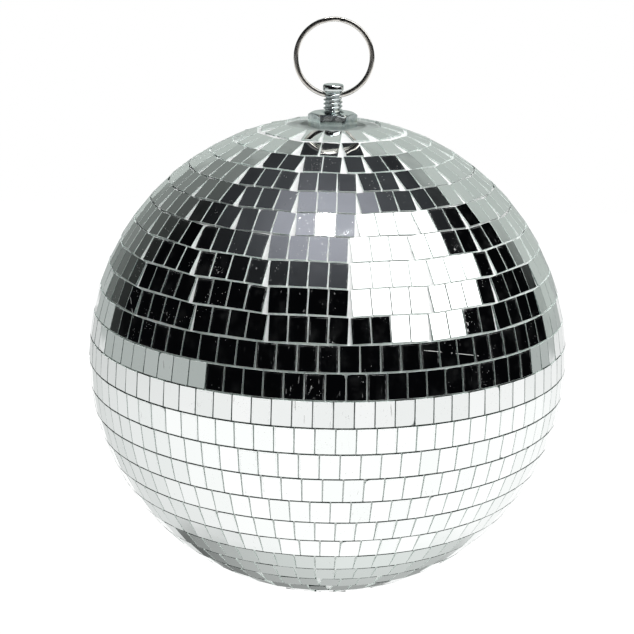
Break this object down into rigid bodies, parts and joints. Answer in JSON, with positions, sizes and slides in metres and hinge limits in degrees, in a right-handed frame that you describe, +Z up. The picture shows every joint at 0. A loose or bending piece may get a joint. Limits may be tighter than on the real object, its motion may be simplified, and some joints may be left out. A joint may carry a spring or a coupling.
{
  "type": "mirror ball",
  "caption": "Hanging mirror ball: a hollow plastic core covered in rows of small rectangular mirror tiles, with a nut-clamped stud and a split ring to hang it from.",
  "frame": {"origin": "inside top of the split ring, where a hook, cord or clip bears", "axes": "+Z up along the ball's axis when it hangs, -Y towards the front, split ring in the XZ plane, cross hole and swing axis along X"},
  "size_m": [0.2036, 0.2035, 0.2453],
  "materials": {
    "mirror_glass": "polished, with ground greenish edges",
    "white_glue": "matt, slightly uneven",
    "core_plastic": "moulded, fine grain",
    "zinc_steel": "bright zinc plate, bluish",
    "nickel_ring": "bright nickel plate"
  },
  "bodies": {
    "ring": {"split_ring": "nickel_ring"},
    "ball": {"core_upper_shell": "core_plastic", "core_lower_shell": "core_plastic", "glue_bed_upper": "white_glue", "glue_bed_lower": "white_glue", "hanger_stud": "zinc_steel", "inner_washer": "zinc_steel", "inner_nut": "zinc_steel", "outer_nut": "zinc_steel", "bottom_cap_tiles": "mirror_glass", "mirror_row_01": "mirror_glass", "mirror_row_02": "mirror_glass", "mirror_row_03": "mirror_glass", "mirror_row_04": "mirror_glass", "mirror_row_05": "mirror_glass", "mirror_row_06": "mirror_glass", "mirror_row_07": "mirror_glass", "mirror_row_08": "mirror_glass", "mirror_row_09": "mirror_glass", "mirror_row_10": "mirror_glass", "mirror_row_11": "mirror_glass", "mirror_row_12": "mirror_glass", "mirror_row_13": "mirror_glass", "mirror_row_14": "mirror_glass", "mirror_row_15": "mirror_glass", "mirror_row_16": "mirror_glass", "mirror_row_17": "mirror_glass", "mirror_row_18": "mirror_glass", "mirror_row_19": "mirror_glass", "mirror_row_20": "mirror_glass", "mirror_row_21": "mirror_glass", "mirror_row_22": "mirror_glass", "mirror_row_23": "mirror_glass", "mirror_row_24": "mirror_glass", "mirror_row_25": "mirror_glass", "mirror_row_26": "mirror_glass", "mirror_row_27": "mirror_glass"}
  },
  "joints": [
    {"name": "ball_swing", "type": "hinge", "parent": "ring", "child": "ball", "pos_m": [0, 0, -0.03008], "axis": [1, 0, 0], "range_deg": [-110, 110]}
  ]
}
